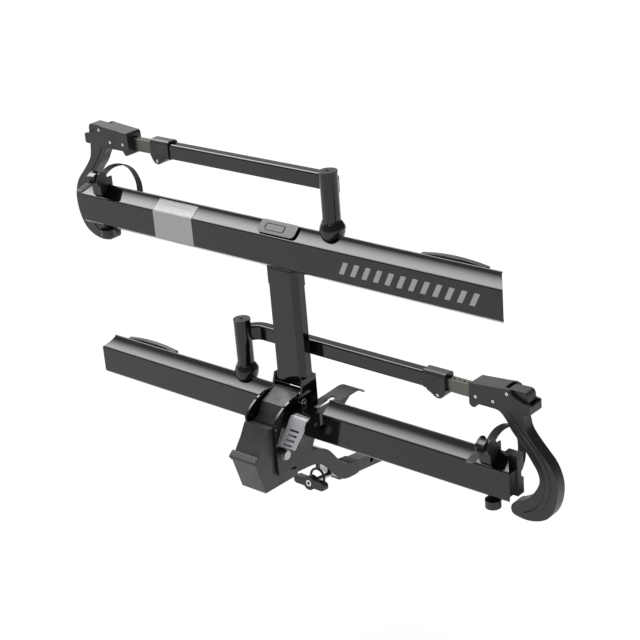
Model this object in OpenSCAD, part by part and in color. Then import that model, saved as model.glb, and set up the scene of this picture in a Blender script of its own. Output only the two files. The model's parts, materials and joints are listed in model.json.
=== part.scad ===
// Two-bike platform rack on a square hitch bar, shown folded up against the car.
// Row frame: origin on the hitch pin hole, +X to the rack's right, +Y towards the car, +Z up.
// Mast frame: origin on the inner tray's front top edge, +Z along the leaning mast.

/* [Hitch] */
// Outside width of the square hitch bar
bar_w = 31.75; // [31.75:0.05:31.75]
// Wall of the hitch bar
bar_t = 3.2; // [2.5:0.1:4]
// Length of the hitch bar in front of the pin hole
bar_front = 120; // [110:1:130]
// Length of the hitch bar behind the pin hole
bar_back = 62; // [50:1:70]
// Radius of the hitch pin hole
pin_hole_r = 6.5; // [6.4:0.1:6.7]

/* [Mast] */
// Lean of the folded mast away from the car, degrees
lean = 8.35; // [6:0.05:10]
// Height of the main hinge above the hitch bar
hinge_z = 143.6; // [140:0.1:150]
// Distance of the main hinge in front of the pin hole
hinge_front = 297; // [290:1:305]
// Width of the mast tube
mast_w = 88; // [84:1:90]
// Depth of the mast tube
mast_d = 42.5; // [40:0.5:42.5]
// Wall of the mast tube
mast_t = 4; // [3:0.5:5]
// Distance between the two trays
tray_gap = 396.9; // [380:0.1:420]

/* [Trays] */
// Length of a tray
tray_l = 1200; // [1180:1:1240]
// Height of a tray's front wall
tray_h = 66; // [60:1:70]
// Depth of a tray's channel
tray_d = 30.5; // [28:0.5:32]
// Wall of a tray
tray_t = 3; // [2:0.5:4]
// Amount by which the tray's flares are cut back at their ends
tray_cut = 21.7; // [15:0.1:25]

/* [Wheel arms] */
// Distance of an arm's pivot from the mast's centre
arm_x = 147.4; // [145:0.1:150]
// Outside radius of an arm's pivot sleeve
sleeve_r = 19.5; // [18:0.5:20]
// Depth of the arm tube
arm_d = 26.3; // [24:0.1:27]
// Height of the arm tube
arm_h = 36; // [34:0.5:38]
// End of the arm tube, measured from the mast's centre
arm_end = 347; // [340:1:352]
// Radius of an arm's pivot pin
arm_pin_r = 8; // [7:0.5:9]

/* [Straps] */
// Width of a wheel strap
strap_w = 20; // [16:1:22]
// Thickness of a wheel strap
strap_t = 2.5; // [2:0.5:3]

/* [Hidden] */
$fn = 48;
run = 0.05;                   // radial clearance of a running fit
hinge = [-8, -75];             // main hinge, (y, z) in the mast frame
hinge_r = 10;
plate_in = 38;                 // inner face of the hub's side plates
plate_t = 6;
hub_r = 104;
box_in = 31.5;                 // inner face of the bracket's walls
box_t = 4;
mast_y = 20;                   // front face of the mast tube
mast_z0 = 60.5;                // lower end of the mast tube
mast_z1 = 397;                 // upper end of the mast tube
tongue_z = 10;                 // lower end of the narrower tongue between the hub plates
mast_edge = 12;                // chamfer of the mast tube
heel_r = 124;                  // clearance circle about the main hinge, front half of the tongue
heel_back_r = 113;             // the same for the back half
heel_y = 40;                   // where the front half ends
tray_r = tray_l / 2;
arm_y = 39.4;                  // arm pivot in the mast frame
tube_y = 76;                   // centre line of the arm tube
tube_z = 120.5;
tube_edge = 5;                 // rounding of the arm tube's edges
tube_wall = 3;
sleeve_z = [47.7, 155.4];
collar_l = 57;
collar_w = 33;
collar_h = 44;
collar_lobe = [385, 97];       // screw lobe below the collar, (x, z) in the mast frame
slide_w = [18, 29];            // section of the sliding bar
slide_gap = 0.2;
slide_x = [60, 490];           // ends of the sliding bar
hook_y = [52, 79];
head_y = [52, 96];
head_x = 470.6;                // inboard end of the hook's head
release_y = [60, 90];
release_pin = [564.7, 146.5];  // pivot of the release, (x, z) in the mast frame
release_pin_r = 2.5;
tray_bolt_x = [-20, 20];
tray_bolt_z = [tray_gap - 48, tray_gap - 18];
cradle_x = 575;                // middle of a wheel cradle
strap_x = 541;                 // middle of a wheel strap
cheek = strap_w / 2 + 4;       // half width of the strap's base
strap_slot = strap_w / 2 + 0.6;
latch = [-70, -82];            // latch pin, (y, z) in the mast frame
latch_r = 8;
lever_x = [54, 104];
lever_pin = [-19, -15];
lever_pin_r = 5;
rod_r = 6;
knob_y = -205;

// Wall outline of the fixed bracket, (y, z) in the mast frame
bracket_outline = [[12, 31], [-36, 14], [-54, -14], [-74, -20], [-97, -13], [-114, -41],
    [-119, -47], [-147, -83], [-124, -160], [-17, -163], [-14, -150], [-14, -112],
    [20, -96], [20, -40]];
// Folded sheets between the bracket's walls: the top cover and the nose, 4 mm inside that outline
cover_sheet = [[12, 31], [-36, 14], [-54, -14], [-50.5, -16], [-33.3, 10.6], [12.8, 26.8]];
nose_sheet = [[-74, -20], [-97, -13], [-114, -41], [-119, -47], [-147, -83], [-124, -160],
    [-17, -163], [-14, -150], [-14, -112], [-18, -112], [-18, -149.6], [-20.4, -158.9],
    [-121, -156], [-142.6, -82], [-116, -44.6], [-110.7, -38.8], [-95.2, -17.7], [-74.9, -24.2]];
latch_sector = [[0, 0], [-150, 21], [-150, -150], [0, -150], [60, -150]];
// Edges of the bent neck, (y, z) in the row frame
neck_top = [[-330, 84], [-285, 90], [-245, 91.5], [-215, 90], [-190, 84.5], [-164, 72],
    [-130, 40.5], [-105, 23], [-80, 17.5], [-56, 17]];
neck_bottom = [[-48, 8], [-50, -10], [-62, -17], [-100, -17.5], [-125, -9], [-145, 7],
    [-166, 26], [-190, 44], [-212, 52], [-245, 53], [-330, 50]];
// Half section of a knuckle, (radius, z) about the arm's pivot
knuckle_profile = [[0, -50], [20, -50], [20.5, 4], [24, 16], [26.6, 24], [27.2, 29], [25, 37],
    [21.2, 47.2], [0, 47.2]];
// Outline of the hook below its head, (x, z) in the mast frame
hook_outline = [[500, 112], [530, 106], [546, 102], [560, 88], [573, 67], [590, 48], [606, 28],
    [622, 6], [634, -14], [637, -34], [628, -55], [612, -76], [592, -90], [574, -99], [566, -111],
    [568, -124], [580, -130], [608, -132], [638, -124], [660, -108], [675, -78], [680, -42],
    [675, -14], [662, 12], [638, 38], [612, 69], [604, 92], [601, 110], [585, 124], [540, 126]];
head_outline = [[head_x, 100], [head_x, 144], [475, 149], [548, 155], [562, 157], [571, 154],
    [576, 147], [586, 140], [602, 134.5], [616, 132.5], [618, 130.5], [618, 111], [615, 108.5],
    [602, 108.5], [594, 102], [541, 105], [492, 105], [486, 99]];
pocket_outline = [[555, 180], [555, 139], [560, 134.5], [576, 131], [605, 127], [640, 127], [640, 180]];
release_outline = [[561, 152.8], [565, 154], [600, 155.5], [606, 153], [609, 147], [610, 133],
    [606, 131.5], [590, 135.5], [576, 138.5], [566, 139.6], [561, 140.5], [558, 144], [558, 149.5]];
// Path of a wheel strap, (y, z) in the mast frame
strap_path = [[-54, 31], [-38, 35], [-14, 40.5], [13, 41.5], [24, 47], [38, 55.5], [59, 60],
    [88, 55], [114, 37], [130, 7], [134, -19], [129, -45], [112, -65], [88, -74], [58.4, -66]];
// Upper flare of a tray, (y, z): its rounded front edge, then the concave sheet
flare_top = [[0, -2.6], [0.5, -1], [2, 0.5], [4, 1.9], [8, 4.2], [16, 9.8], [24, 16.6], [tray_d, 24]];
flare_under = [[tray_d - 1, 19.9], [25.5, 14.4], [17.8, 7.4], [9.3, 1.5], [tray_t, -1.6]];
buckle_axle = [0, 51];         // axle of the buckle's lever, (y, z) in the mast frame
buckle_r = 3;
buckle_cheek = [8, 44];        // centre of the buckle's round cheeks, (y, z) in the mast frame
buckle_outline = [[-17, 44.4], [-18.5, 50], [-14, 56.5], [-4, 61], [4, 60], [7.5, 55.5],
    [6.5, 49], [3, 45.2]];
// Foot of the strap's base, following the tray's flare, (y, z) in the mast frame
strap_foot = [[1, 8], [4, 3.4], [8, 5.2], [16, 10.8], [24, 17.8], [29.5, 26], [34, 27], [40, 27],
    [40, 44], [1, 44]];
// Rounded belly below a collar, (x, z) in the mast frame
collar_belly = [[403, 112], [402, 99], [395, 90], [386, 87], [377, 89], [367, 96], [357, 101],
    [356, 112]];
// Outline of the release lever seen from the front, (x, z) in the mast frame
lever_outline = [[47.5, -66], [91, -66], [104, 0], [104, 40], [54, 40], [54, -2]];
// Side profile of the release lever's plate, (y, z) in the mast frame
lever_path = [[-80, -57], [-57, -26], [-36, 3], [10, 3], [60, 2], [105, 4], [130, 4],
    [146, -2], [156, -11]];

// ---- frames -----------------------------------------------------------------

module in_mast() {
    translate([0, -hinge_front, hinge_z])
        rotate([lean, 0, 0])
            translate([0, -hinge[0], -hinge[1]])
                children();
}

// The inner tray's set as drawn, the outer tray's set mirrored and one gap up the mast.
module on_inner() {
    in_mast() children();
}

module on_outer() {
    in_mast() translate([0, 0, tray_gap]) mirror([1, 0, 0]) children();
}

// ---- helpers ----------------------------------------------------------------

function curve(a, b, c, d, t) = 0.5 * (2 * b + (c - a) * t + (2 * a - 5 * b + 4 * c - d) * t * t
    + (3 * b - a - 3 * c + d) * t * t * t);

// Closed smooth outline through the points
function ring(p, n) = let (m = len(p)) [for (i = [0 : m - 1], k = [0 : n - 1])
    curve(p[(i + m - 1) % m], p[i], p[(i + 1) % m], p[(i + 2) % m], k / n)];

// Open smooth line through the points
function line(p, n) = let (m = len(p)) concat([for (i = [0 : m - 2], k = [0 : n - 1])
    curve(p[max(i - 1, 0)], p[i], p[i + 1], p[min(i + 2, m - 1)], k / n)], [p[m - 1]]);

function side(p, i) = let (a = p[max(i - 1, 0)], b = p[min(i + 1, len(p) - 1)], d = b - a)
    [-d[1], d[0]] / norm(d);

// Outline of a strip of constant thickness along a line
function strip(p, t) = concat([for (i = [0 : len(p) - 1]) p[i] + side(p, i) * t / 2],
    [for (i = [len(p) - 1 : -1 : 0]) p[i] - side(p, i) * t / 2]);

// Extrude a (y, z) outline along X
module along_x(x0, x1) {
    translate([x0, 0, 0])
        rotate([90, 0, 90])
            linear_extrude(x1 - x0)
                children();
}

// Extrude an (x, z) outline along Y
module along_y(y0, y1) {
    translate([0, y1, 0])
        rotate([90, 0, 0])
            linear_extrude(y1 - y0)
                children();
}

module block(a, b) {
    translate(a) cube(b - a);
}

module rod_x(y, z, r, x0, x1) {
    translate([x0, y, z]) rotate([0, 90, 0]) cylinder(r = r, h = x1 - x0);
}

module rod_y(x, z, r, y0, y1) {
    translate([x, y0, z]) rotate([-90, 0, 0]) cylinder(r = r, h = y1 - y0);
}

module round_rect(w, h, r) {
    square([w - 2 * r, h], center = true);
    square([w, h - 2 * r], center = true);
    for (x = [-1, 1], y = [-1, 1])
        translate([x * (w / 2 - r), y * (h / 2 - r)]) circle(r);
}

// ---- hitch ------------------------------------------------------------------

module stinger() {
    color("dimgray")
        difference() {
            block([-bar_w / 2, -bar_front, -bar_w / 2], [bar_w / 2, bar_back, bar_w / 2]);
            block([-bar_w / 2 + bar_t, -bar_front + 5, -bar_w / 2 + bar_t],
                [bar_w / 2 - bar_t, bar_back + 1, bar_w / 2 - bar_t]);
            rod_x(0, 0, pin_hole_r, -bar_w, bar_w);
            rod_y(0, 0, rod_r + run, -bar_front - 1, -bar_front + 6);
        }
}

module neck_solid() {
    difference() {
        along_x(-20, 20) polygon(concat(line(neck_top, 5), line(neck_bottom, 5)));
        block([-bar_w / 2, -bar_front, -bar_w / 2], [bar_w / 2, 0, bar_w / 2]);
        in_mast() block([-60, -200, -300], [60, -14, 0]);
    }
}

module gooseneck() {
    color("#2b2b2b")
        difference() {
            neck_solid();
            rod_y(0, 0, rod_r + 1, -220, -bar_front + 1);
        }
}

module bracket() {
    color("#222222")
        in_mast()
            difference() {
                union() {
                    for (x = [-box_in - box_t, box_in])
                        along_x(x, x + box_t) polygon(bracket_outline);
                    along_x(-box_in - 1, box_in + 1) polygon(cover_sheet);
                    along_x(-box_in - 1, box_in + 1) polygon(nose_sheet);
                }
                rod_x(hinge[0], hinge[1], hinge_r + run, -60, 60);
                // arc slot that the latch pin runs in while the mast turns
                along_x(box_in - 1, box_in + box_t + 1)
                    translate(hinge)
                        intersection() {
                            difference() {
                                circle(norm(latch - hinge) + latch_r + 1);
                                circle(norm(latch - hinge) - latch_r - 1);
                            }
                            polygon(latch_sector);
                        }
            }
}

module bumper() {
    color("#3a3a3a")
        in_mast()
            difference() {
                translate([0, -141, -76])
                    rotate([37, 0, 0])
                        along_x(-38, 38) round_rect(20, 20, 5);
                along_x(-60, 60) polygon(bracket_outline);
            }
}

module hinge_pin() {
    color("silver")
        in_mast() {
            rod_x(hinge[0], hinge[1], hinge_r, -46, 46);
            for (x = [-52, 44.5])
                rod_x(hinge[0], hinge[1], 15, x, x + 7.5);
        }
}

module cable_loop() {
    color("#303030")
        difference() {
            union() {
                translate([0, -182, 6])
                    rotate([90, 0, 0])
                        rotate_extrude()
                            translate([20, 0]) circle(3);
                block([-4, -185, 27], [4, -179, 60]);
            }
            neck_solid();
        }
}

module wedge() {
    color("dimgray")
        difference() {
            union() {
                block([-9, -60, -11], [9, -30, 11]);
                for (z = [-11, 8])
                    block([-6, -31, z], [6, 69, z + 3]);
                difference() {
                    block([-bar_w / 2, 68, -bar_w / 2], [bar_w / 2, 92, bar_w / 2]);
                    translate([-20, 92, -bar_w / 2 - 1]) rotate([0, 0, -30]) cube([30, 30, 40]);
                }
            }
            rod_y(0, 0, rod_r + run, -61, -29);
        }
}

module draw_rod() {
    color("silver") rod_y(0, 0, rod_r, knob_y + 2, -26);
}

module knob_wing() {
    color("#181818")
        difference() {
            union() {
                along_y(knob_y - 8, knob_y + 8) {
                    circle(17);
                    for (s = [-1, 1])
                        translate([s * 23, 0]) round_rect(46, 20, 9);
                }
                rod_y(0, 0, 12, knob_y + 7, knob_y + 14);
            }
            rod_y(0, 0, rod_r, knob_y + 2, knob_y + 30);
            rod_y(0, 0, 7.5, knob_y - 9, knob_y - 3);
        }
}

module lock_core() {
    color("silver")
        difference() {
            rod_y(0, 0, 7.5, knob_y - 9, knob_y - 3);
            block([-0.8, knob_y - 10, -4], [0.8, knob_y - 6, 4]);
        }
}

// ---- latch and lever, on the mast ---------------------------------------------

module latch_pin() {
    color("silver")
        in_mast() {
            rod_x(latch[0], latch[1], latch_r, 33, 60);
            rod_x(latch[0], latch[1], 10.5, 57, 61);
        }
}

module latch_housing() {
    color("lightgray")
        in_mast()
            difference() {
                rod_x(latch[0], latch[1], 12, plate_in + plate_t, 56);
                rod_x(latch[0], latch[1], latch_r + run, 40, 60);
            }
}

module lever_pivot() {
    color("silver")
        in_mast() {
            rod_x(lever_pin[0], lever_pin[1], lever_pin_r, plate_in + plate_t - 4, lever_x[1] + 3);
            rod_x(lever_pin[0], lever_pin[1], 8, plate_in + plate_t, 50.5);
        }
}

module lever_cheek(x0) {
    along_x(x0, x0 + 3)
        polygon([[-46, -14], [-36, 2], [104, 3], [80, -12], [20, -22], [-10, -30], [-26, -28]]);
}

module foot_lever() {
    x0 = lever_x[0];
    x1 = lever_x[1];
    color("#262626")
        in_mast()
            difference() {
                union() {
                    intersection() {
                        along_x(40, x1) polygon(strip(line(lever_path, 4), 3.5));
                        along_y(-120, 180) polygon(lever_outline);
                    }
                    lever_cheek(x0);
                    lever_cheek(x1 - 3);
                }
                rod_x(lever_pin[0], lever_pin[1], lever_pin_r + run, 40, 110);
                // window over the arm
                block([x0 + 18, 14, -6], [x1 - 18, 78, 12]);
                // tread slots in the pedal
                for (k = [0 : 3])
                    translate([75 - 2.1 * k, -56.2 - 6.7 * k, -24.5 - 9.17 * k])
                        rotate([54, 0, 0])
                            block([-14, -2.2, -8], [14, 2.2, 8]);
            }
}

// ---- mast -----------------------------------------------------------------------

function mast_ring(w, d, c) = [[-w / 2 + c, 0], [w / 2 - c, 0], [w / 2, c], [w / 2, d - c],
    [w / 2 - c, d], [-w / 2 + c, d], [-w / 2, d - c], [-w / 2, c]];

module spine() {
    color("#1c1c1c")
        in_mast()
            difference() {
                union() {
                    translate([0, mast_y, mast_z0])
                        linear_extrude(mast_z1 - mast_z0) polygon(mast_ring(mast_w, mast_d, mast_edge));
                    translate([0, mast_y, tongue_z])
                        linear_extrude(mast_z0 - tongue_z + 1) polygon(mast_ring(2 * plate_in, mast_d, 3));
                }
                translate([0, mast_y + mast_t, mast_z0 + 6])
                    linear_extrude(mast_z1)
                        polygon(mast_ring(mast_w - 2 * mast_t, mast_d - 2 * mast_t, mast_edge - 2));
                for (x = tray_bolt_x, z = tray_bolt_z)
                    rod_y(x, z, 4 + run, mast_y + mast_d - 10, mast_y + mast_d + 1);
                // rounded heel that swings past the bracket
                rod_x(hinge[0], hinge[1], heel_back_r, -mast_w, mast_w);
                intersection() {
                    rod_x(hinge[0], hinge[1], heel_r, -mast_w, mast_w);
                    block([-mast_w, 0, 0], [mast_w, heel_y, mast_z0]);
                }
            }
}

module spine_collar() {
    color("#1a1a1a")
        in_mast()
            difference() {
                translate([0, mast_y - 1.5, 276])
                    linear_extrude(38) polygon(mast_ring(mast_w + 3, mast_d + 3, mast_edge + 0.6));
                translate([0, mast_y, 240])
                    linear_extrude(80) polygon(mast_ring(mast_w, mast_d, mast_edge));
            }
}

module hub_plate(x0) {
    along_x(x0, x0 + plate_t)
        difference() {
            union() {
                intersection() {
                    translate(hinge) circle(hub_r);
                    polygon([[-86, -132], [-86, 60], [60, 60], [60, -60], [20, -132]]);
                }
                polygon([[0, 0], [mast_y, mast_z0 - 0.3], [mast_y + mast_d, mast_z0 - 0.3],
                    [mast_y + mast_d, 0], [56, -60]]);
            }
            translate(hinge) circle(hinge_r + run);
        }
}

module hub_plates() {
    color("#202020")
        in_mast()
            difference() {
                union() {
                    hub_plate(-plate_in - plate_t);
                    hub_plate(plate_in);
                }
                rod_x(latch[0], latch[1], latch_r + run, 30, 50);
                rod_x(lever_pin[0], lever_pin[1], lever_pin_r, 30, 50);
                rod_x(11.6, 10, 5, 30, 50);
            }
}

module hub_washers() {
    color("silver")
        in_mast()
            for (x = [-plate_in, box_in + box_t + 0.1])
                difference() {
                    rod_x(hinge[0], hinge[1], 18, x, x + 2.4);
                    rod_x(hinge[0], hinge[1], hinge_r + run, x - 1, x + 4);
                }
}

module hub_bolts() {
    color("silver")
        in_mast()
            difference() {
                union() {
                    rod_x(11.6, 10, 5, 36, 46);
                    rod_x(11.6, 10, 9, plate_in + plate_t, plate_in + plate_t + 5.5);
                }
                rod_x(11.6, 10, 3.5, plate_in + plate_t + 2.5, plate_in + plate_t + 9);
            }
}

// ---- trays ----------------------------------------------------------------------

module tray_section() {
    t = tray_t;
    h = tray_h;
    d = tray_d;
    polygon(concat(flare_top, flare_under, [[t, -h + 1.6], [13, -h - 6], [d, -h - 11],
        [d, -h - 14], [12, -h - 9], [2, -h - 1.4], [0, -h + 2]]));
}

module tray_lips() {
    translate([tray_d - 0.5, 22]) circle(2.6);
    translate([tray_d - 0.5, -tray_h - 12.5]) circle(2.2);
}

module tray_end_cut(x) {
    s = sign(x);
    translate([x, 0, -150])
        linear_extrude(300)
            polygon([[0, 0], [-s * tray_cut, tray_d], [-s * tray_cut, tray_d + 10],
                [s * 30, tray_d + 10], [s * 30, 0]]);
}

module tray(x0, x1) {
    difference() {
        union() {
            along_x(x0, x1) tray_section();
            along_x(x0, x1) tray_lips();
        }
        if (x0 < -tray_r + 1)
            tray_end_cut(x0);
        if (x1 > tray_r - 1)
            tray_end_cut(x1);
    }
}

// Room for the arm's pin behind a tray
module pin_relief() {
    translate([-arm_x, arm_y, -60]) cylinder(r = arm_pin_r + 1, h = 120);
}

// Room for the main hinge's heads beside the inner tray
module hinge_relief() {
    rod_x(hinge[0], hinge[1], 16.5, -54, 54);
}

module inner_tray_left() {
    color("#1f1f1f")
        on_inner()
            difference() {
                tray(-tray_r, -plate_in - plate_t - 0.5);
                pin_relief();
                hinge_relief();
            }
}

module inner_tray_right() {
    color("#1f1f1f")
        on_inner()
            difference() {
                tray(plate_in + plate_t + 0.5, tray_r);
                hinge_relief();
                // relief that the release lever works in
                block([40, -1, -34], [lever_x[1] + 5, 40, 40]);
            }
}

module outer_tray() {
    color("#1f1f1f")
        on_outer()
            difference() {
                tray(-tray_r, tray_r);
                pin_relief();
                // gap in the lower flare that the mast passes through
                block([-46, 14, -100], [46, 40, -60]);
            }
}

module tray_brackets() {
    color("#2a2a2a")
        on_inner()
            for (s = [-1, 1])
                mirror([s < 0 ? 1 : 0, 0, 0]) {
                    block([44, tray_t, -60], [96, 8, -38]);
                    block([44, tray_t, -60], [49, 30, -38]);
                }
}

module tray_mount() {
    color("#2a2a2a")
        in_mast() block([-34, tray_t, tray_gap - 58], [34, mast_y, tray_gap - 8]);
}

module tray_bolts() {
    color("silver")
        in_mast()
            for (x = tray_bolt_x, z = tray_bolt_z) {
                rod_y(x, z, 4, mast_y + mast_d - 8, mast_y + mast_d + 2);
                rod_y(x, z, 7, mast_y + mast_d, mast_y + mast_d + 4);
            }
}

module reflector_band() {
    t = 0.6;
    over = [[26.5, 20], [23.6, 17.1], [15.65, 10.35], [7.7, 4.75], [3.7, 2.5], [1.6, 1], [0, -0.7]];
    within = [[0.4, -2.6], [2, -0.4], [8, 3.3], [16, 8.9], [24, 15.6], [26.5, 18]];
    color("white")
        in_mast()
            translate([0, 0, tray_gap])
                difference() {
                    along_x(-356, -234)
                        polygon(concat(over, [[-t, -2.6], [-t, -tray_h + 2], [0.4, -tray_h + 2]], within));
                    along_x(-400, -200) tray_section();
                }
}

module cover_plate() {
    color("#1a1a1a")
        in_mast()
            difference() {
                translate([13, 1, tray_gap + 1.6])
                    rotate([39.5, 0, 0])
                        translate([0, 20.5, -2])
                            linear_extrude(4.5) round_rect(104, 33, 9);
                translate([0, 0, tray_gap]) {
                    along_x(-100, 100) tray_section();
                    along_x(-100, 100) tray_lips();
                }
            }
}

module wheel_cup() {
    rise = 472;
    intersection() {
        along_y(33.2, 45) translate([-460, 29.5 - rise]) circle(rise, $fn = 200);
        block([-541, 30, -44], [-378, 50, 60]);
    }
    block([-500, tray_t, -44], [-420, 34, -16]);
}

module inner_wheel_cup() {
    color("#151515") on_inner() wheel_cup();
}

module outer_wheel_cup() {
    color("#151515") on_outer() wheel_cup();
}

// ---- wheel arms -------------------------------------------------------------------

module knuckle() {
    difference() {
        union() {
            intersection() {
                translate([-arm_x, arm_y, 0]) rotate_extrude() polygon(knuckle_profile);
                along_x(-200, -100)
                    polygon([[8, 4.4], [16, 10], [24, 16.9], [28.6, 24.8], [80, 25], [80, 60], [8, 60]]);
            }
            intersection() {
                translate([-arm_x, arm_y, 0]) rotate_extrude() polygon(knuckle_profile);
                block([-200, 33.5, -50], [-100, 80, 30]);
            }
            block([-arm_x - 22, tray_t, -50], [-arm_x + 22, 50, -12]);
        }
        translate([-arm_x, arm_y, -40]) cylinder(r = arm_pin_r + run, h = 100);
    }
}

module arm_pin() {
    translate([-arm_x, arm_y, -40]) cylinder(r = arm_pin_r, h = 192);
}

module arm() {
    bend = tube_y - arm_y;
    difference() {
        union() {
            translate([-arm_x, arm_y, sleeve_z[0]])
                cylinder(r = sleeve_r, h = sleeve_z[1] - sleeve_z[0]);
            translate([-arm_x + bend, arm_y, tube_z])
                rotate([0, 0, 90])
                    rotate_extrude(angle = 90)
                        translate([bend, 0]) round_rect(arm_d, arm_h, tube_edge);
            translate([-arm_x + bend, tube_y, tube_z])
                rotate([90, 0, 90])
                    linear_extrude(arm_end + arm_x - bend) round_rect(arm_d, arm_h, tube_edge);
        }
        translate([-arm_x, arm_y, 40]) cylinder(r = arm_pin_r + run, h = 113);
        translate([-60, tube_y, tube_z])
            rotate([90, 0, 90])
                linear_extrude(500) square([arm_d - 2 * tube_wall, arm_h - 2 * tube_wall], center = true);
    }
}

module arm_cap() {
    translate([-arm_x, arm_y, sleeve_z[1]])
        difference() {
            cylinder(r = sleeve_r + 0.5, h = 4.2);
            translate([0, 0, 1.5]) cylinder(r = 4, h = 4);
        }
}

module collar() {
    difference() {
        union() {
            translate([arm_end, tube_y, tube_z + 2])
                rotate([90, 0, 90])
                    linear_extrude(collar_l) round_rect(collar_w, collar_h, 9);
            along_y(tube_y - collar_w / 2, tube_y + collar_w / 2) polygon(ring(collar_belly, 3));
        }
        translate([arm_end - 1, tube_y, tube_z])
            translate([0, -slide_w[0] / 2 - slide_gap, -slide_w[1] / 2 - slide_gap])
                cube([100, slide_w[0] + 2 * slide_gap, slide_w[1] + 2 * slide_gap]);
    }
}

module collar_screw() {
    front = tube_y - collar_w / 2;
    rod_y(collar_lobe[0], collar_lobe[1] - 2.5, 3.4, front - 1.4, front);
}

module slide_bar() {
    difference() {
        block([slide_x[0], tube_y - slide_w[0] / 2, tube_z - slide_w[1] / 2],
            [slide_x[1], tube_y + slide_w[0] / 2, tube_z + slide_w[1] / 2]);
        // groove along the top, with the ratchet teeth in its floor
        block([slide_x[0] - 1, tube_y - 2.5, tube_z + slide_w[1] / 2 - 1],
            [slide_x[1] + 1, tube_y + 2.5, tube_z + slide_w[1] / 2 + 1]);
        for (k = [0 : 22])
            translate([200 + 12 * k, tube_y - 2.5, tube_z + slide_w[1] / 2 - 2.5])
                cube([6, 5, 4]);
    }
}

module hook() {
    difference() {
        union() {
            along_y(hook_y[0], hook_y[1]) polygon(ring(hook_outline, 4));
            along_y(head_y[0], head_y[1]) polygon(head_outline);
            rod_y(head_x + 9.5, 104, 9, head_y[0], head_y[1]);
        }
        // socket that the sliding bar ends in
        block([head_x - 10, tube_y - slide_w[0] / 2, tube_z - slide_w[1] / 2],
            [slide_x[1], tube_y + slide_w[0] / 2, tube_z + slide_w[1] / 2]);
        // pocket that the release sits in
        along_y(release_y[0] - 0.5, release_y[1] + 0.5) polygon(pocket_outline);
        rod_y(release_pin[0], release_pin[1], release_pin_r + run, head_y[0] - 1, head_y[1] - 2);
    }
}

module hook_screws() {
    for (p = [release_pin, [530.5, 121.1], [487.6, 120.9]])
        rod_y(p[0], p[1], 3.6, head_y[0] - 1.5, head_y[0]);
    rod_y(release_pin[0], release_pin[1], release_pin_r, head_y[0] - 1, head_y[1] - 3);
}

module release() {
    difference() {
        along_y(release_y[0], release_y[1]) polygon(release_outline);
        rod_y(release_pin[0], release_pin[1], release_pin_r + run, release_y[0] - 1, release_y[1] + 1);
    }
}

// ---- wheel cradles and straps -------------------------------------------------------

module cradle() {
    x = cradle_x;
    sx = strap_x;
    difference() {
        union() {
            // shoe inside the channel
            block([x - 27, tray_t + 0.3, -60], [x + 20, 36, -8]);
            // two ribs that the tyre sits between
            for (z = [-52, 4])
                translate([0, 0, z]) block([x - 12, 33.5, -18], [x + 22, 56, 18]);
            block([x - 12, 33.5, -60], [x + 22, 48, 20]);
            block([sx, 33.5, -30], [x, 44, 20]);
            // strap base reaching over the tray's edge, and its cheeks
            block([sx - cheek, 33.5, 10], [sx + cheek, 40, 44]);
            along_x(sx - cheek, sx + cheek) polygon(strap_foot);
            rod_x(buckle_cheek[0], buckle_cheek[1], 17, sx - cheek, sx + cheek);
            // strap anchor and stud below the tray's edge
            block([sx - cheek, 33.5, -74], [x - 10, 58, -56]);
            block([sx - cheek, 33.5, -92], [sx + cheek, 40, -56]);
            block([sx - 10, 18, -92], [sx + 10, 40, -84]);
            translate([sx + 3, 20, -103]) cylinder(r = 17, h = 18);
        }
        rod_x(buckle_axle[0], buckle_axle[1], buckle_r + run, sx - 20, sx + 20);
        block([sx - strap_slot, -20, 38], [sx + strap_slot, 44, 80]);
    }
}

module strap() {
    along_x(strap_x - strap_w / 2, strap_x + strap_w / 2)
        polygon(strip(line(strap_path, 4), strap_t));
}

module buckle() {
    rod_x(buckle_axle[0], buckle_axle[1], buckle_r, strap_x - cheek, strap_x + cheek);
    along_x(strap_x - strap_slot + 0.4, strap_x + strap_slot - 0.4) polygon(buckle_outline);
}

// ---- the two mirrored sets ------------------------------------------------------------

module inner_knuckle() { color("#151515") on_inner() knuckle(); }
module outer_knuckle() { color("#151515") on_outer() knuckle(); }
module inner_arm_pin() { color("silver") on_inner() arm_pin(); }
module outer_arm_pin() { color("silver") on_outer() arm_pin(); }
module inner_arm() { color("#1d1d1d") on_inner() arm(); }
module outer_arm() { color("#1d1d1d") on_outer() arm(); }
module inner_arm_cap() { color("#242424") on_inner() arm_cap(); }
module outer_arm_cap() { color("#242424") on_outer() arm_cap(); }
module inner_collar() { color("#121212") on_inner() collar(); }
module outer_collar() { color("#121212") on_outer() collar(); }
module inner_collar_screw() { color("silver") on_inner() collar_screw(); }
module outer_collar_screw() { color("silver") on_outer() collar_screw(); }
module inner_slide_bar() { color("#8a8a80") on_inner() slide_bar(); }
module outer_slide_bar() { color("#8a8a80") on_outer() slide_bar(); }
module inner_hook() { color("#141414") on_inner() hook(); }
module outer_hook() { color("#141414") on_outer() hook(); }
module inner_hook_screws() { color("silver") on_inner() hook_screws(); }
module outer_hook_screws() { color("silver") on_outer() hook_screws(); }
module inner_release() { color("#101010") on_inner() release(); }
module outer_release() { color("#101010") on_outer() release(); }
module inner_cradle() { color("#161616") on_inner() cradle(); }
module outer_cradle() { color("#161616") on_outer() cradle(); }
module inner_strap() { color("#333333") on_inner() strap(); }
module outer_strap() { color("#333333") on_outer() strap(); }
module inner_buckle() { color("#101010") on_inner() buckle(); }
module outer_buckle() { color("#101010") on_outer() buckle(); }

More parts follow.
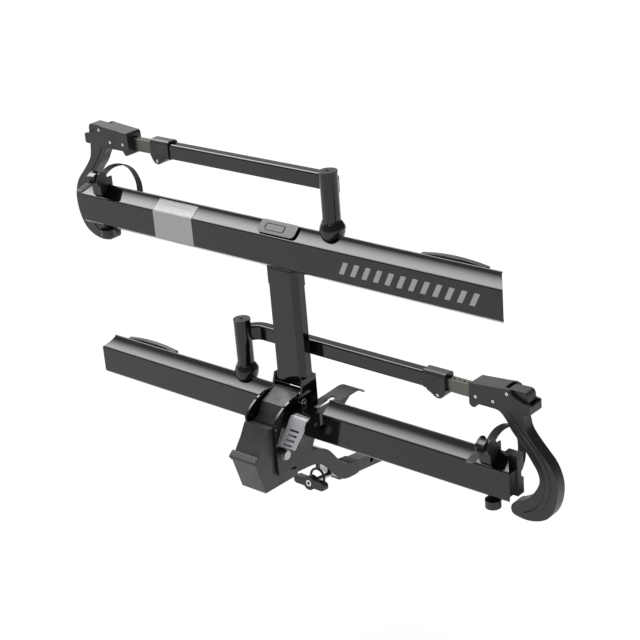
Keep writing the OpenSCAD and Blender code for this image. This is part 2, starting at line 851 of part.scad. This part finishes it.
stinger();
gooseneck();
bracket();
bumper();
hinge_pin();
cable_loop();
wedge();
knob_wing();
draw_rod();
lock_core();
latch_pin();
foot_lever();
spine();
spine_collar();
cover_plate();
hub_plates();
hub_washers();
hub_bolts();
latch_housing();
lever_pivot();
inner_tray_left();
inner_tray_right();
outer_tray();
tray_brackets();
tray_mount();
tray_bolts();
reflector_band();
inner_wheel_cup();
outer_wheel_cup();
inner_knuckle();
outer_knuckle();
inner_arm_pin();
outer_arm_pin();
inner_arm();
outer_arm();
inner_arm_cap();
outer_arm_cap();
inner_collar();
outer_collar();
inner_collar_screw();
outer_collar_screw();
inner_slide_bar();
outer_slide_bar();
inner_hook();
outer_hook();
inner_hook_screws();
outer_hook_screws();
inner_release();
outer_release();
inner_cradle();
outer_cradle();
inner_strap();
outer_strap();
inner_buckle();
outer_buckle();
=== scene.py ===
"""Looks of the folded two-bike hitch rack: materials, straps and small details on the CAD frame."""

import json
import math

import bpy
from mathutils import Matrix, Vector


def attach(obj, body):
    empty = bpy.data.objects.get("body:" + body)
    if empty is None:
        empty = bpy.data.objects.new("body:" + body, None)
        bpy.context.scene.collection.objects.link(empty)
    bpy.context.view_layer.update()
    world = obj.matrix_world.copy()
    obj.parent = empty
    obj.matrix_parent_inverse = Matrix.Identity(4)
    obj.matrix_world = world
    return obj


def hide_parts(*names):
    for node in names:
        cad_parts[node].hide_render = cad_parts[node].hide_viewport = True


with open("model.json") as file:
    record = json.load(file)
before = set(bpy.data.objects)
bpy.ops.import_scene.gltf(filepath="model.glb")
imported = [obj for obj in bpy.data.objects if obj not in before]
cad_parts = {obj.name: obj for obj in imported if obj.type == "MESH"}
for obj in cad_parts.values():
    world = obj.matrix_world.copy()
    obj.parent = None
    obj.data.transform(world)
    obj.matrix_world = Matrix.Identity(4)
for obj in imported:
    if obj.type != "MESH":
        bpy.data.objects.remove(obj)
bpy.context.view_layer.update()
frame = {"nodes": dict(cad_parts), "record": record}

# ---- view and light ------------------------------------------------------------------

VIEW_AZIMUTH = math.radians(40.13)
VIEW_ELEVATION = math.radians(17.0)
VIEW_ROLL = math.radians(1.05)
VIEW_DISTANCE = 3.58
VIEW_AIM = Vector((0.0221, -0.2098, 0.3981))
LENS_MM = 90.27
FLOOR_Z = -0.40  # a hitch receiver sits about this high above the ground
FLOOR_SIZE = 60
FLOOR_GREY = (0.18, 0.18, 0.18)
FLOOR_GLOW = 0.78
BANK_DIRECTION = (-0.60, 0.05, 0.80)  # the overhead light bank, above and left of the rack
BANK_RADIANCE = 8.0  # the bank's bright core
BANK_CORE = (0.84, 0.985)  # cosines of the angle to it between which the core fades in
HALO_RADIANCE = 0.45  # the glow around it
HALO_EDGE = (0.50, 0.80)  # the same for the glow
EVEN_RADIANCE = 0.12  # even light from every side


def add_camera():
    """A long lens on the rack's left front, a little above it."""
    data = bpy.data.cameras.new("camera")
    data.lens = LENS_MM
    data.sensor_width = 36
    data.clip_end = 100
    camera = bpy.data.objects.new("camera", data)
    bpy.context.scene.collection.objects.link(camera)
    az, el = VIEW_AZIMUTH, VIEW_ELEVATION
    forward = Vector((-math.sin(az) * math.cos(el), math.cos(az) * math.cos(el), -math.sin(el)))
    right = Vector((math.cos(az), math.sin(az), 0))
    up = right.cross(forward)
    turn = Matrix.Rotation(-VIEW_ROLL, 3, forward)
    right, up = turn @ right, turn @ up
    camera.matrix_world = Matrix.Translation(VIEW_AIM - forward * VIEW_DISTANCE) @ Matrix(
        (right, up, -forward)
    ).transposed().to_4x4()
    bpy.context.scene.camera = camera


def add_world():
    """A white backdrop, and for reflections a bright overhead bank that fades to a dark front."""
    world = bpy.data.worlds.new("studio")
    world.use_nodes = True
    nodes, links = world.node_tree.nodes, world.node_tree.links
    background = nodes["Background"]
    place = nodes.new("ShaderNodeTexCoord")
    aim = nodes.new("ShaderNodeVectorMath")
    aim.operation = "DOT_PRODUCT"
    aim.inputs[1].default_value = Vector(BANK_DIRECTION).normalized()
    links.new(place.outputs["Generated"], aim.inputs[0])

    def fade(edges, radiance):
        """Light that fades in between two cosines of the angle to the bank."""
        ramp = nodes.new("ShaderNodeMapRange")
        ramp.interpolation_type = "SMOOTHSTEP"
        ramp.inputs["From Min"].default_value, ramp.inputs["From Max"].default_value = edges
        ramp.inputs["To Min"].default_value = 0
        ramp.inputs["To Max"].default_value = radiance
        links.new(aim.outputs["Value"], ramp.inputs["Value"])
        return ramp.outputs["Result"]

    total = nodes.new("ShaderNodeMath")
    total.operation = "ADD"
    links.new(fade(BANK_CORE, BANK_RADIANCE), total.inputs[0])
    links.new(fade(HALO_EDGE, HALO_RADIANCE), total.inputs[1])
    even = nodes.new("ShaderNodeMath")
    even.operation = "ADD"
    links.new(total.outputs[0], even.inputs[0])
    even.inputs[1].default_value = EVEN_RADIANCE
    seen = nodes.new("ShaderNodeLightPath")
    pick = nodes.new("ShaderNodeMix")
    links.new(seen.outputs["Is Camera Ray"], pick.inputs["Factor"])
    links.new(even.outputs[0], pick.inputs["A"])
    pick.inputs["B"].default_value = 1.0
    links.new(pick.outputs["Result"], background.inputs["Strength"])
    background.inputs["Color"].default_value = (1, 1, 1, 1)
    bpy.context.scene.world = world


def add_floor():
    """A wide white ground that glows, so that it meets the backdrop without an edge."""
    bpy.ops.mesh.primitive_plane_add(size=FLOOR_SIZE, location=(0, 0, FLOOR_Z))
    floor = bpy.context.object
    floor.name = "floor"
    white = plain("floor_white", FLOOR_GREY, roughness=1.0, specular=0.0)
    shader = white.node_tree.nodes["Principled BSDF"]
    shader.inputs["Emission Color"].default_value = (1, 1, 1, 1)
    shader.inputs["Emission Strength"].default_value = FLOOR_GLOW
    floor.data.materials.append(white)


def add_stage():
    """Light, ground and a colour handling without film curves."""
    add_world()
    add_floor()
    scene = bpy.context.scene
    scene.view_settings.view_transform = "Standard"
    scene.view_settings.look = "None"


# ---- materials -----------------------------------------------------------------------


def new_material(name):
    """A new material with its nodes, links and shader."""
    material = bpy.data.materials.new(name)
    material.use_nodes = True
    nodes = material.node_tree.nodes
    return material, nodes, material.node_tree.links, nodes["Principled BSDF"]


def plain(name, colour, roughness=0.5, metallic=0.0, specular=0.5):
    """A material with one colour and an even finish."""
    material, _, _, shader = new_material(name)
    shader.inputs["Base Color"].default_value = (*colour, 1)
    shader.inputs["Roughness"].default_value = roughness
    shader.inputs["Metallic"].default_value = metallic
    shader.inputs["Specular IOR Level"].default_value = specular
    return material


def grained(material, scale, depth, stretch=(1, 1, 1)):
    """Adds a fine noise bump, stretched along one direction for brushed metal."""
    nodes, links = material.node_tree.nodes, material.node_tree.links
    shader = nodes["Principled BSDF"]
    place = nodes.new("ShaderNodeTexCoord")
    mapping = nodes.new("ShaderNodeMapping")
    mapping.inputs["Scale"].default_value = stretch
    noise = nodes.new("ShaderNodeTexNoise")
    noise.inputs["Scale"].default_value = scale
    noise.inputs["Detail"].default_value = 4
    bump = nodes.new("ShaderNodeBump")
    bump.inputs["Strength"].default_value = 1.0
    bump.inputs["Distance"].default_value = depth
    links.new(place.outputs["Object"], mapping.inputs["Vector"])
    links.new(mapping.outputs["Vector"], noise.inputs["Vector"])
    links.new(noise.outputs["Fac"], bump.inputs["Height"])
    links.new(bump.outputs["Normal"], shader.inputs["Normal"])
    return material


NOISE_SPREAD = (0.35, 0.65)  # most of the noise lies between these values


def worn(material, scale, low_roughness, high_roughness):
    """Lets the roughness drift softly over the surface, as handling and dust do."""
    nodes, links = material.node_tree.nodes, material.node_tree.links
    place = nodes.new("ShaderNodeTexCoord")
    noise = nodes.new("ShaderNodeTexNoise")
    noise.inputs["Scale"].default_value = scale
    noise.inputs["Detail"].default_value = 3
    ramp = nodes.new("ShaderNodeMapRange")
    ramp.inputs["From Min"].default_value, ramp.inputs["From Max"].default_value = NOISE_SPREAD
    ramp.inputs["To Min"].default_value = low_roughness
    ramp.inputs["To Max"].default_value = high_roughness
    links.new(place.outputs["Object"], noise.inputs["Vector"])
    links.new(noise.outputs["Fac"], ramp.inputs["Value"])
    links.new(ramp.outputs["Result"], nodes["Principled BSDF"].inputs["Roughness"])
    return material


BLACK_PAINT = (0.004, 0.004, 0.0042)

# One material for each slot of the record
MATERIALS = {
    "painted": worn(
        grained(plain("gloss_black_paint", BLACK_PAINT, 0.07), 260, 0.000002),
        9, 0.05, 0.10,
    ),
    "satin_steel": worn(
        grained(plain("satin_black_steel", (0.040, 0.040, 0.041), 0.38), 500, 0.00002),
        40, 0.34, 0.46,
    ),
    "stainless": grained(
        plain("brushed_stainless", (0.125, 0.125, 0.11), 0.34, metallic=1.0),
        60, 0.00003, (0.3, 8, 8),
    ),
    "chrome": plain("polished_chrome", (0.75, 0.76, 0.78), 0.08, metallic=1.0),
    "zinc": grained(plain("zinc_plate", (0.42, 0.42, 0.41), 0.3, metallic=1.0), 300, 0.00002),
    "plastic": worn(
        grained(plain("textured_black_plastic", (0.018, 0.018, 0.019), 0.42), 900, 0.00005),
        30, 0.38, 0.48,
    ),
    "gloss_plastic": plain("smooth_black_plastic", (0.012, 0.012, 0.013), 0.22),
    "strap": grained(plain("grey_strap", (0.050, 0.050, 0.052), 0.55, specular=0.3), 700, 0.00003),
    "rubber": grained(plain("dark_rubber", (0.045, 0.045, 0.046), 0.62), 500, 0.00006),
    "reflective": grained(plain("reflective_film", (0.42, 0.43, 0.43), 0.35), 800, 0.00002),
}
GRAPHIC = plain("silver_print", (0.40, 0.40, 0.40), 0.45)
# Near-black painted shade for the insides of the screw sockets and of the lock's keyway
RECESS_SHADE = plain("painted_recess_shade", (0.006, 0.006, 0.006), 0.6)

# The tread's pale grey is a painted reflection of the overhead light bank, not a colour of the
# lever
TREAD_REFLECTION_GREY = (0.50, 0.50, 0.54)
TREAD_X = (0.0400, 0.1008)  # the tread's sides, in metres in the row frame
TREAD_TOP = 0.2165


def pedal_paint_and_reflection():
    """The release lever's paint: black on its cheeks and arm, and on the tread a pale grey painted
    reflection of the light bank.
    """
    material, nodes, links, shader = new_material("lever_paint_and_painted_reflection")
    place = nodes.new("ShaderNodeTexCoord")
    split = nodes.new("ShaderNodeSeparateXYZ")
    links.new(place.outputs["Object"], split.inputs[0])

    def side(axis, limit, operation):
        """1 where a coordinate lies on the tread's side of a limit, otherwise 0."""
        test = nodes.new("ShaderNodeMath")
        test.operation = operation
        links.new(split.outputs[axis], test.inputs[0])
        test.inputs[1].default_value = limit
        return test.outputs[0]

    tests = [
        side("X", TREAD_X[0], "GREATER_THAN"),
        side("X", TREAD_X[1], "LESS_THAN"),
        side("Z", TREAD_TOP, "LESS_THAN"),
    ]
    value = tests[0]
    for test in tests[1:]:
        both = nodes.new("ShaderNodeMath")
        both.operation = "MULTIPLY"
        links.new(value, both.inputs[0])
        links.new(test, both.inputs[1])
        value = both.outputs[0]
    # Mixes the painted reflection into the black paint where the mask is 1
    colour = nodes.new("ShaderNodeMix")
    colour.data_type = "RGBA"
    colour.inputs["A"].default_value = (*BLACK_PAINT, 1)
    colour.inputs["B"].default_value = (*TREAD_REFLECTION_GREY, 1)
    links.new(value, colour.inputs["Factor"])
    links.new(colour.outputs["Result"], shader.inputs["Base Color"])
    shader.inputs["Roughness"].default_value = 0.16
    return material


# ---- shared frame of the mast --------------------------------------------------------

# Most pieces are drawn in millimetres in the mast's frame: y runs back and z runs up the mast
LEAN = math.radians(8.35)  # the folded mast's lean
TRAY_GAP = 396.9  # the upper tray lies this far above the lower one
HINGE_Y, HINGE_Z = -8, -75  # the main hinge in the mast's frame
HINGE = (0, -0.297, 0.1436)  # the same hinge in the row frame, in metres
MILLIMETRES = Matrix.Scale(0.001, 4)
MAST = (
    Matrix.Translation(HINGE)
    @ Matrix.Rotation(LEAN, 4, "X")
    @ Matrix.Translation((0, -HINGE_Y / 1000, -HINGE_Z / 1000))
    @ MILLIMETRES
)
OUTER = MAST @ Matrix.Translation((0, 0, TRAY_GAP)) @ Matrix.Scale(-1, 4, (1, 0, 0))
SETS = (("inner", MAST), ("outer", OUTER))


def add_piece(name, points, faces, material, body, to_row=MAST, smooth=True, slot=None):
    """A mesh piece from points in mast millimetres that rides on a CAD body."""
    if to_row.determinant() < 0:
        faces = [tuple(reversed(face)) for face in faces]
    mesh = bpy.data.meshes.new(name)
    mesh.from_pydata([to_row @ Vector(point) for point in points], [], faces)
    mesh.validate()
    for polygon in mesh.polygons:
        polygon.use_smooth = smooth
    piece = bpy.data.objects.new(name, mesh)
    bpy.context.scene.collection.objects.link(piece)
    mesh.materials.append(material)
    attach(piece, body)
    return piece


def volume(points, faces):
    """Signed volume of a closed skin, positive when its faces look outward."""
    total = 0.0
    for face in faces:
        first = Vector(points[face[0]])
        for b, c in zip(face[1:], face[2:]):
            total += first.dot(Vector(points[b]).cross(Vector(points[c]))) / 6
    return total


def loft(rings, capped=True):
    """Points and faces of a skin through rings of equal length."""
    count = len(rings[0])
    points = [point for ring in rings for point in ring]
    faces = []
    for i in range(len(rings) - 1):
        for j in range(count):
            a, b = i * count + j, i * count + (j + 1) % count
            faces.append((a, b, b + count, a + count))
    if capped:
        faces.append(tuple(reversed(range(count))))
        faces.append(tuple(range(len(points) - count, len(points))))
        if volume(points, faces) < 0:
            faces = [tuple(reversed(face)) for face in faces]
    return points, faces


def join(parts):
    """Several skins as one."""
    points, faces = [], []
    for more_points, more_faces in parts:
        start = len(points)
        points += more_points
        faces += [tuple(start + i for i in face) for face in more_faces]
    return points, faces


SPLINE_STEPS = 24  # samples between two knots


def spline(knots, step):
    """Evenly spaced points on a smooth line through the knots."""
    fine = []
    last = len(knots) - 1
    for i in range(last):
        a, b, c, d = (Vector(knots[min(max(i + k, 0), last)]) for k in (-1, 0, 1, 2))
        linear, square, cube = c - a, 2 * a - 5 * b + 4 * c - d, 3 * b - a - 3 * c + d
        for k in range(SPLINE_STEPS):
            t = k / SPLINE_STEPS
            fine.append(0.5 * (2 * b + linear * t + square * t**2 + cube * t**3))
    fine.append(Vector(knots[-1]))
    line, spare = [fine[0]], 0.0
    for a, b in zip(fine, fine[1:]):
        length = (b - a).length
        while spare + length >= step:
            t = (step - spare) / length
            a = a + (b - a) * t
            line.append(a)
            length = (b - a).length
            spare = 0.0
            if length < 1e-9:
                break
        spare += length
    return line


def normal_at(line, i):
    """Unit direction across a line at its point i."""
    along = (line[min(i + 1, len(line) - 1)] - line[max(i - 1, 0)]).normalized()
    return Vector((-along.y, along.x))


# ---- edges of the CAD nodes ----------------------------------------------------------

SHARP_EDGE = math.radians(30)  # edges steeper than this stay sharp in the shading
BEVEL_EDGE = math.radians(32)  # edges steeper than this are rounded
FLAT_FACES = math.radians(0.8)  # faces that differ by less are merged first
BEVEL_SEGMENTS = 3
WELD_DISTANCE = 1e-6
FACE_WEIGHT = 80  # how much large faces pull the shading towards themselves


def shading_group():
    """Geometry nodes that smooth every face and keep the steep edges sharp."""
    group = bpy.data.node_groups.new("smooth_faces", "GeometryNodeTree")
    group.interface.new_socket("Geometry", in_out="INPUT", socket_type="NodeSocketGeometry")
    group.interface.new_socket("Geometry", in_out="OUTPUT", socket_type="NodeSocketGeometry")
    nodes, links = group.nodes, group.links
    start, end = nodes.new("NodeGroupInput"), nodes.new("NodeGroupOutput")
    drop = nodes.new("GeometryNodeRemoveAttribute")
    drop.inputs["Name"].default_value = "custom_normal"
    faces = nodes.new("GeometryNodeSetShadeSmooth")
    faces.domain = "FACE"
    edges = nodes.new("GeometryNodeSetShadeSmooth")
    edges.domain = "EDGE"
    edges.inputs["Shade Smooth"].default_value = False
    angle = nodes.new("GeometryNodeInputMeshEdgeAngle")
    test = nodes.new("ShaderNodeMath")
    test.operation = "GREATER_THAN"
    test.inputs[1].default_value = SHARP_EDGE
    links.new(start.outputs[0], drop.inputs["Geometry"])
    links.new(drop.outputs["Geometry"], faces.inputs["Geometry"])
    links.new(faces.outputs["Geometry"], edges.inputs["Geometry"])
    links.new(angle.outputs["Unsigned Angle"], test.inputs[0])
    links.new(test.outputs[0], edges.inputs["Selection"])
    links.new(edges.outputs["Geometry"], end.inputs[0])
    return group


SHADING = shading_group()


def soften(node, width):
    """Rounds a CAD node's edges by width millimetres, with modifiers only."""
    weld = node.modifiers.new("weld", "WELD")
    weld.merge_threshold = WELD_DISTANCE
    merge = node.modifiers.new("merge", "DECIMATE")
    merge.decimate_type = "DISSOLVE"
    merge.angle_limit = FLAT_FACES
    bevel = node.modifiers.new("bevel", "BEVEL")
    bevel.width = width * 0.001
    bevel.segments = BEVEL_SEGMENTS
    bevel.limit_method = "ANGLE"
    bevel.angle_limit = BEVEL_EDGE
    node.modifiers.new("shading", "NODES").node_group = SHADING
    normals = node.modifiers.new("normals", "WEIGHTED_NORMAL")
    normals.keep_sharp = True
    normals.weight = FACE_WEIGHT


# Bevel widths in millimetres, for each slot and then for single nodes
EDGE_BY_SLOT = {
    "painted": 0.8, "satin_steel": 0.8, "stainless": 0.5, "chrome": 0.5, "zinc": 0.5,
    "plastic": 1.2, "gloss_plastic": 0.8, "rubber": 1.0,
}
EDGE = {
    "stinger": 2.0, "gooseneck": 3.0, "bracket": 1.0, "inner_hook": 5.0, "outer_hook": 5.0,
    "inner_collar": 3.2, "outer_collar": 3.2, "inner_release": 2.4, "outer_release": 2.4,
    "knob_wing": 3.0, "hub_plates": 1.0, "spine": 1.5, "spine_collar": 1.2, "inner_cradle": 1.6,
    "outer_cradle": 1.6, "foot_lever": 0.7, "hub_bolts": 1.6,
}
for row in frame["record"]["subparts"]:
    name = row["node"]
    node = frame["nodes"][name]
    node.data.materials.clear()
    node.data.materials.append(MATERIALS[row["material_slot"]])
    if row["material_slot"] in EDGE_BY_SLOT:
        soften(node, EDGE.get(name, EDGE_BY_SLOT[row["material_slot"]]))
# The lever's tread carries a painted reflection in its base colour
frame["nodes"]["foot_lever"].data.materials[0] = pedal_paint_and_reflection()
for name in ("inner_knuckle", "outer_knuckle"):
    frame["nodes"][name].data.materials[0] = MATERIALS["gloss_plastic"]
frame["nodes"]["cover_plate"].data.materials[0] = MATERIALS["painted"]

# ---- straps --------------------------------------------------------------------------

STRAP_X = 541  # middle of a strap
STRAP_WIDTH = 20
STRAP_THICKNESS = 2.4
STRAP_STEP = 1.1  # spacing of the ribbon's sections
STRAP_ROUND = 0.7  # rounding of the ribbon's edges
TIP_LENGTH = 7  # the ribbon widens over this length
TIP_SHARE = 0.45  # share of the width left at the very tip
TOOTH_PITCH = 4.4
TOOTH_RISE = 1.0
TOOTH_SHARE = 0.72  # the teeth's share of the width
TOOTH_SLOPE = 0.3  # width of a tooth's sloping ends
TOOTH_START = 6  # length of the smooth tip
# Middle line of a strap, (y, z) in the mast frame
STRAP_PATH = [
    (-54, 31), (-38, 35), (-14, 40.5), (13, 41.5), (24, 47), (38, 55.5), (59, 60), (88, 55),
    (114, 37), (130, 7), (134, -19), (129, -45), (112, -65), (88, -74), (58.4, -66),
]


def strap_mesh():
    """A ladder strap: a flat ribbon with raised teeth on its outer side and a rounded tip."""
    line = spline(STRAP_PATH, STRAP_STEP)
    rings = []
    travel = 0.0
    for i, here in enumerate(line):
        out = normal_at(line, i)
        grown = math.sqrt(min(1.0, i * STRAP_STEP / TIP_LENGTH))
        tip = min(1.0, TIP_SHARE + (1 - TIP_SHARE) * grown)
        half, thin = STRAP_WIDTH / 2 * tip, STRAP_THICKNESS / 2

        def at(x, lift):
            """Point of the section, x across the strap and lift above its middle line."""
            spot = here + out * lift
            return (STRAP_X + x, spot.x, spot.y)

        tooth = (travel % TOOTH_PITCH) / TOOTH_PITCH
        rise = TOOTH_RISE * (1 - tooth) if TOOTH_START < travel else 0.0
        inner = half * TOOTH_SHARE
        crest = inner - TOOTH_SLOPE
        edge = half - STRAP_ROUND
        rings.append(
            [
                at(-half, thin * 0.5), at(-edge, thin), at(-inner, thin), at(-crest, thin + rise),
                at(crest, thin + rise), at(inner, thin), at(edge, thin), at(half, thin * 0.5),
                at(half, -thin * 0.5), at(edge, -thin), at(-edge, -thin), at(-half, -thin * 0.5),
            ]
        )
        travel += STRAP_STEP
    return loft(rings)


for side, to_row in SETS:
    strap = add_piece(
        side + "_strap_ribbon", *strap_mesh(), MATERIALS["strap"], side + "_cradle", to_row,
        smooth=False, slot="strap",
    )
    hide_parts(side + "_strap")

# ---- knuckle skirts ------------------------------------------------------------------

ARM_X, ARM_Y = 147.4, 39.4  # the arm's pivot lies this far to the side and this far back
FLARE = ((0, 0), (8, 4.2), (16, 9.8), (24, 16.6), (30.5, 24))  # the tray's flare, (y, z)
FLARE_CLEARANCE = 0.3
SKIRT_SIDES = 72
SKIRT_FOOT = 23  # radius at which the foot follows the flare
SKIRT_RIM = 49  # height of the rim
SKIRT_WAVE = 3  # rise and fall of the rim round the sleeve
SLEEVE_RADIUS = 20  # rings inside it are tucked down
SLEEVE_TUCK = 0.6
# (share of the height, radius)
SKIRT_PROFILE = (
    (0.0, 24.0), (0.1, 25.6), (0.22, 27.2), (0.36, 28.2), (0.5, 27.8), (0.66, 26.2), (0.82, 24.0),
    (0.95, 22.2), (1.0, 21.3), (1.0, 19.7),
)


def flare_height(y):
    """Height of the tray's flare at depth y."""
    y = min(max(y, 0), FLARE[-1][0])
    for (y0, z0), (y1, z1) in zip(FLARE, FLARE[1:]):
        if y <= y1:
            return z0 + (z1 - z0) * (y - y0) / (y1 - y0)


def knuckle_mesh():
    """The moulded skirt around a knuckle, flared at half height, with a saddle-shaped rim."""
    rings = []
    for share, radius in SKIRT_PROFILE:
        ring = []
        for k in range(SKIRT_SIDES):
            turn = math.tau * k / SKIRT_SIDES
            foot = flare_height(ARM_Y + SKIRT_FOOT * math.sin(turn)) + FLARE_CLEARANCE
            height = foot + (SKIRT_RIM - foot) * share
            height += SKIRT_WAVE * share**4 * math.cos(2 * turn)
            if radius < SLEEVE_RADIUS:
                height -= SLEEVE_TUCK
            across, back = radius * math.cos(turn), radius * math.sin(turn)
            ring.append((-ARM_X + across, ARM_Y + back, height))
        rings.append(ring)
    return loft(rings, capped=False)


for side, to_row in SETS:
    add_piece(
        side + "_knuckle_skirt", *knuckle_mesh(), MATERIALS["gloss_plastic"], "mast", to_row,
        slot="plastic",
    )

# ---- covers that close the gaps round the hinge --------------------------------------

GUARD_START = 80  # degrees round the hinge, from straight back
GUARD_SWEEP = 34
GUARD_STEPS = 24
# Section of the guard, (x, radius round the hinge)
GUARD_SECTION = (
    (-35, 108.6), (-34.4, 110.6), (34.4, 110.6), (35, 108.6), (34.4, 107.4), (-34.4, 107.4),
)


def hinge_guard():
    """A curved sheet on the bracket, just inside the circle that the mast's heel swings on."""
    rings = []
    for k in range(GUARD_STEPS + 1):
        turn = math.radians(GUARD_START - GUARD_SWEEP * k / GUARD_STEPS)
        across, up = math.cos(turn), math.sin(turn)
        ring = []
        for x, radius in GUARD_SECTION:
            ring.append((x, HINGE_Y + radius * across, HINGE_Z + radius * up))
        rings.append(ring)
    return loft(rings)


add_piece("hinge_guard", *hinge_guard(), MATERIALS["satin_steel"], "hitch", slot="satin_steel")

# Outline of the pocket plate, (x, z), its middle and half its size, and its section, (y, inset)
POCKET_OUTLINE = (
    (46, -66), (108, -66), (110, -64), (110, -30), (108, -28), (46, -28), (44.5, -30), (44.5, -64),
)
POCKET_X, POCKET_Z = 77, -47
POCKET_HALF_X, POCKET_HALF_Z = 33, 19
POCKET_SECTION = ((36, 0.8), (36.8, 0), (38.2, 0), (39, 0.8))


def pocket_plate():
    """The plate behind the release lever that closes the gap in the lower tray."""
    rings = []
    for y, inset in POCKET_SECTION:
        across, up = 1 - inset / POCKET_HALF_X, 1 - inset / POCKET_HALF_Z
        rings.append(
            [
                (POCKET_X + (x - POCKET_X) * across, y, POCKET_Z + (z - POCKET_Z) * up)
                for x, z in POCKET_OUTLINE
            ]
        )
    return loft(rings)


add_piece(
    "lever_pocket", *pocket_plate(), MATERIALS["painted"], "mast", smooth=False, slot="painted"
)

# ---- small details -------------------------------------------------------------------


def disc(x, y, z, radius, depth, sides=6):
    """A short prism facing the front, at (x, y, z)."""
    rings = []
    for back in (0, depth):
        ring = []
        for k in range(sides):
            turn = math.tau * k / sides
            ring.append((x + radius * math.cos(turn), y + back, z + radius * math.sin(turn)))
        rings.append(ring)
    return loft(rings)


SCREWS = ((564.7, 146.5), (530.5, 121.1), (487.6, 120.9))  # a hook's screws, (x, z)
SCREW_FACE = 50.42  # y of their heads
SCREW_SOCKET = 1.7
COLLAR_SCREW = (385, 58.02, 94.5)
COLLAR_SOCKET = 1.6
SOCKET_DEPTH = 0.3
# Dark discs on the screw heads and the collar screw: painted shade for the insides of their sockets
for side, to_row in SETS:
    sockets = [disc(x, SCREW_FACE, z, SCREW_SOCKET, SOCKET_DEPTH) for x, z in SCREWS]
    collar = disc(*COLLAR_SCREW, COLLAR_SOCKET, SOCKET_DEPTH)
    add_piece(side + "_screw_socket_shade", *join(sockets), RECESS_SHADE, side + "_hook", to_row, smooth=False)
    add_piece(side + "_collar_socket_shade", *collar, RECESS_SHADE, side + "_arm", to_row, smooth=False)

# A dark disc on the lock: painted shade for the inside of its keyway
KEYWAY = (0, -214.05, 0)  # in the row frame's millimetres
keyway = disc(*KEYWAY, radius=4.2, depth=0.4, sides=24)
add_piece("lock_keyway_shade", *keyway, RECESS_SHADE, "knob", MILLIMETRES, smooth=False)

# Middle line of the moulded panel on a hook's front, (x, z) in the mast frame
HOOK_LINE = [
    (566, 104), (578, 88), (594, 68), (612, 48), (632, 24), (648, -4), (656, -34), (652, -64),
    (637, -92), (616, -110), (594, -119),
]
PANEL_STEP = 3
PANEL_FOOT, PANEL_FACE = 52.2, 50.9  # y of the panel's foot and of its front
PANEL_SLOPE = 2.5  # width of its sloping edges
PANEL_HALF = 3  # half width at the ends
PANEL_SWELL = 6  # what the swelling adds to it
SWELL_START, SWELL_SPAN = 0.08, 0.9  # part of a half wave that the swelling follows


def panel_mesh():
    """A low panel with sloping edges along the hook's middle line."""
    line = spline(HOOK_LINE, PANEL_STEP)
    rings = []
    for i, here in enumerate(line):
        out = normal_at(line, i)
        wave = SWELL_START + SWELL_SPAN * (i / (len(line) - 1))
        half = PANEL_HALF + PANEL_SWELL * math.sin(math.pi * wave)
        flat = half - PANEL_SLOPE
        section = ((-half, PANEL_FOOT), (-flat, PANEL_FACE), (flat, PANEL_FACE), (half, PANEL_FOOT))
        rings.append([(here.x + out.x * side, y, here.y + out.y * side) for side, y in section])
    return loft(rings)


for side, to_row in SETS:
    add_piece(
        side + "_hook_panel", *panel_mesh(), MATERIALS["plastic"], side + "_hook", to_row,
        slot="plastic",
    )

BAR_COUNT = 12
BAR_PITCH = 30
BAR_START = 190  # x of the first bar
BAR_FOOT = TRAY_GAP - 47  # z of the bars' lower ends
BAR_WIDTH, BAR_HEIGHT = 13, 28
BAR_LEAN = 14  # sideways shift of their upper ends
BAR_DEPTH = (-0.35, 0.05)  # y of its front and its back


def slanted_bar(x):
    """One printed bar on the upper tray, with its lower corner at x."""
    right, top = x + BAR_WIDTH, BAR_FOOT + BAR_HEIGHT
    corners = ((x, BAR_FOOT), (right, BAR_FOOT), (right + BAR_LEAN, top), (x + BAR_LEAN, top))
    return loft([[(cx, y, cz) for cx, cz in corners] for y in BAR_DEPTH])


bars = [slanted_bar(BAR_START + BAR_PITCH * k) for k in range(BAR_COUNT)]
add_piece("tray_graphic", *join(bars), GRAPHIC, "mast", smooth=False)

COVER_EDGE = (13, 1, TRAY_GAP + 1.6)  # the cover plate's front edge
COVER_TILT = math.radians(39.5)
EMBOSS_MIDDLE = (-8, 20.5, 2.5)  # in the tilted plate's frame
COVER = (
    MAST
    @ Matrix.Translation(COVER_EDGE)
    @ Matrix.Rotation(COVER_TILT, 4, "X")
    @ Matrix.Translation(EMBOSS_MIDDLE)
)


def rounded_outline(width, height, radius, steps=6):
    """Points of a rectangle with round corners, around its middle."""
    outline = []
    for corner, (sx, sy) in enumerate(((1, 1), (-1, 1), (-1, -1), (1, -1))):
        for k in range(steps + 1):
            turn = math.pi / 2 * (corner + k / steps)
            outline.append(
                (
                    sx * (width / 2 - radius) + radius * math.cos(turn),
                    sy * (height / 2 - radius) + radius * math.sin(turn),
                )
            )
    return outline


RING_SLOPE = 0.3  # width of the line's sloping sides
RING_SUNK = 0.2  # how far their feet reach into the surface


def raised_ring(width, height, radius, line_width, rise):
    """A rounded rectangle's outline, raised from a surface at z = 0."""
    bands = (
        (0, -RING_SUNK), (RING_SLOPE, rise), (line_width - RING_SLOPE, rise),
        (line_width, -RING_SUNK),
    )
    rings = []
    for inset, z in bands:
        outline = rounded_outline(width - 2 * inset, height - 2 * inset, radius - inset)
        rings.append([(x, y, z) for x, y in outline])
    return loft(rings, capped=False)


emboss = raised_ring(width=56, height=19, radius=6, line_width=2.6, rise=0.9)
add_piece("cover_emboss", *emboss, MATERIALS["gloss_plastic"], "mast", COVER)

# ---- finish --------------------------------------------------------------------------

add_stage()
add_camera()
